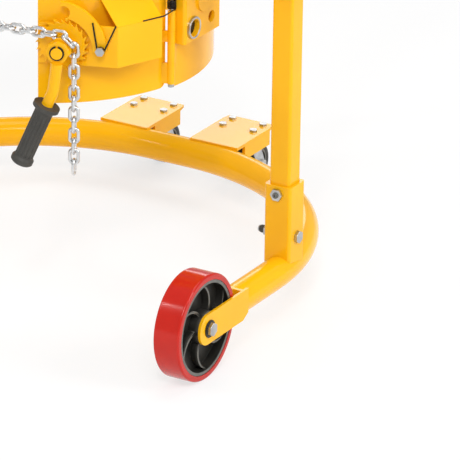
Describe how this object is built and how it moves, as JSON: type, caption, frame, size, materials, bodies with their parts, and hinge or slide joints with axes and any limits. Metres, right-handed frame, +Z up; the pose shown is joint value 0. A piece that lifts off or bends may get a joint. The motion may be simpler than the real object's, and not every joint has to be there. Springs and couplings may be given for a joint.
{
  "type": "drum trolley",
  "caption": "Wheeled horseshoe frame carrying a tilting cradle whose hinged wings clamp a round load with a chain, ratchet and hand lever.",
  "frame": {"origin": "middle of the whole part's box on the floor", "axes": "+Z up from the floor, -Y forward towards the open end of the hoop, +X to the side with the ratchet"},
  "size_m": [1.0376, 1, 1.0607],
  "materials": {
    "yellow_paint": "gloss",
    "red_tyre": "gloss",
    "black_iron": "satin",
    "zinc_steel": "satin",
    "dark_steel": "satin",
    "black_rubber": "matte"
  },
  "bodies": {
    "frame": {"base_hoop": "yellow_paint", "left_wheel_fork": "yellow_paint", "right_wheel_fork": "yellow_paint", "left_wheel_axle": "zinc_steel", "right_wheel_axle": "zinc_steel", "post_sockets": "yellow_paint", "left_post": "yellow_paint", "right_post": "yellow_paint", "left_pivot_bracket": "yellow_paint", "right_pivot_bracket": "yellow_paint", "frame_bolts": "zinc_steel", "push_handle": "yellow_paint", "push_grips": "black_rubber", "caster_brackets": "yellow_paint", "left_caster_head": "zinc_steel", "right_caster_head": "zinc_steel", "caster_bolts": "zinc_steel"},
    "holder": {"saddle_shell": "yellow_paint", "left_cheek": "yellow_paint", "right_cheek": "yellow_paint", "left_trunnion_shaft": "zinc_steel", "right_trunnion_shaft": "zinc_steel", "left_hinge_pin": "zinc_steel", "right_hinge_pin": "zinc_steel", "tilt_stop_tube": "zinc_steel", "tilt_stop_peg": "yellow_paint"},
    "left_wing_assembly": {"left_wing": "yellow_paint", "left_hinge_spring": "dark_steel", "ratchet_bracket": "yellow_paint", "bracket_hood": "yellow_paint", "ratchet_shaft": "yellow_paint", "ratchet_wheel": "yellow_paint", "chain_wheel": "yellow_paint", "snap_ring": "dark_steel", "pawl_bolt": "zinc_steel", "pawl_spring": "dark_steel", "chain_tail": "zinc_steel", "chain_front": "zinc_steel"},
    "right_wing_assembly": {"right_wing": "yellow_paint", "right_hinge_spring": "dark_steel", "chain_anchor": "zinc_steel"},
    "hand_lever": {"lever": "yellow_paint", "lever_grip": "black_rubber"},
    "ratchet_pawl": {"pawl": "yellow_paint"},
    "left_front_wheel": {"left_wheel_tyre": "red_tyre", "left_wheel_core": "black_iron", "left_wheel_bearing": "zinc_steel"},
    "left_caster_swivel": {"left_caster_yoke": "zinc_steel", "left_caster_axle": "zinc_steel"},
    "left_caster_wheel": {"left_caster_tyre": "black_rubber", "left_caster_hub": "black_iron"},
    "right_front_wheel": {"right_wheel_tyre": "red_tyre", "right_wheel_core": "black_iron", "right_wheel_bearing": "zinc_steel"},
    "right_caster_swivel": {"right_caster_yoke": "zinc_steel", "right_caster_axle": "zinc_steel"},
    "right_caster_wheel": {"right_caster_tyre": "black_rubber", "right_caster_hub": "black_iron"}
  },
  "joints": [
    {"name": "left_front_wheel_spin", "type": "hinge", "parent": "frame", "child": "left_front_wheel", "pos_m": [0.47785, -0.401, 0.099], "axis": [1, 0, 0], "continuous": true},
    {"name": "left_caster_turn", "type": "hinge", "parent": "frame", "child": "left_caster_swivel", "pos_m": [0.101, 0.42, 0.108], "axis": [0, 0, 1], "continuous": true},
    {"name": "left_caster_spin", "type": "hinge", "parent": "left_caster_swivel", "child": "left_caster_wheel", "pos_m": [0.101, 0.46, 0.04], "axis": [1, 0, 0], "continuous": true},
    {"name": "right_front_wheel_spin", "type": "hinge", "parent": "frame", "child": "right_front_wheel", "pos_m": [-0.47785, -0.401, 0.099], "axis": [1, 0, 0], "continuous": true},
    {"name": "right_caster_turn", "type": "hinge", "parent": "frame", "child": "right_caster_swivel", "pos_m": [-0.101, 0.42, 0.108], "axis": [0, 0, 1], "continuous": true},
    {"name": "right_caster_spin", "type": "hinge", "parent": "right_caster_swivel", "child": "right_caster_wheel", "pos_m": [-0.101, 0.46, 0.04], "axis": [1, 0, 0], "continuous": true},
    {"name": "holder_tilt", "type": "hinge", "parent": "frame", "child": "holder", "pos_m": [0, -0.121, 0.664], "axis": [1, 0, 0], "range_deg": [-20, 130]},
    {"name": "left_wing_swing", "type": "hinge", "parent": "holder", "child": "left_wing_assembly", "pos_m": [0.30383, -0.19619, 0.58], "axis": [0, 0, 1], "range_deg": [0, 45], "deforming": ["chain_front", "left_hinge_spring"]},
    {"name": "right_wing_swing", "type": "hinge", "parent": "holder", "child": "right_wing_assembly", "pos_m": [-0.30383, -0.19619, 0.58], "axis": [0, 0, -1], "range_deg": [0, 45], "deforming": ["chain_front", "right_hinge_spring"]},
    {"name": "lever_swing", "type": "hinge", "parent": "left_wing_assembly", "child": "hand_lever", "pos_m": [0.18803, -0.37448, 0.5635], "axis": [-0.342, 0.9397, 0], "range_deg": [0, 110]},
    {"name": "pawl_lift", "type": "hinge", "parent": "left_wing_assembly", "child": "ratchet_pawl", "pos_m": [0.25334, -0.3507, 0.559], "axis": [-0.342, 0.9397, 0], "range_deg": [0, 16], "stiffness_Nm_per_rad": 0.05, "springref_deg": -17.19, "deforming": ["pawl_spring"]}
  ]
}
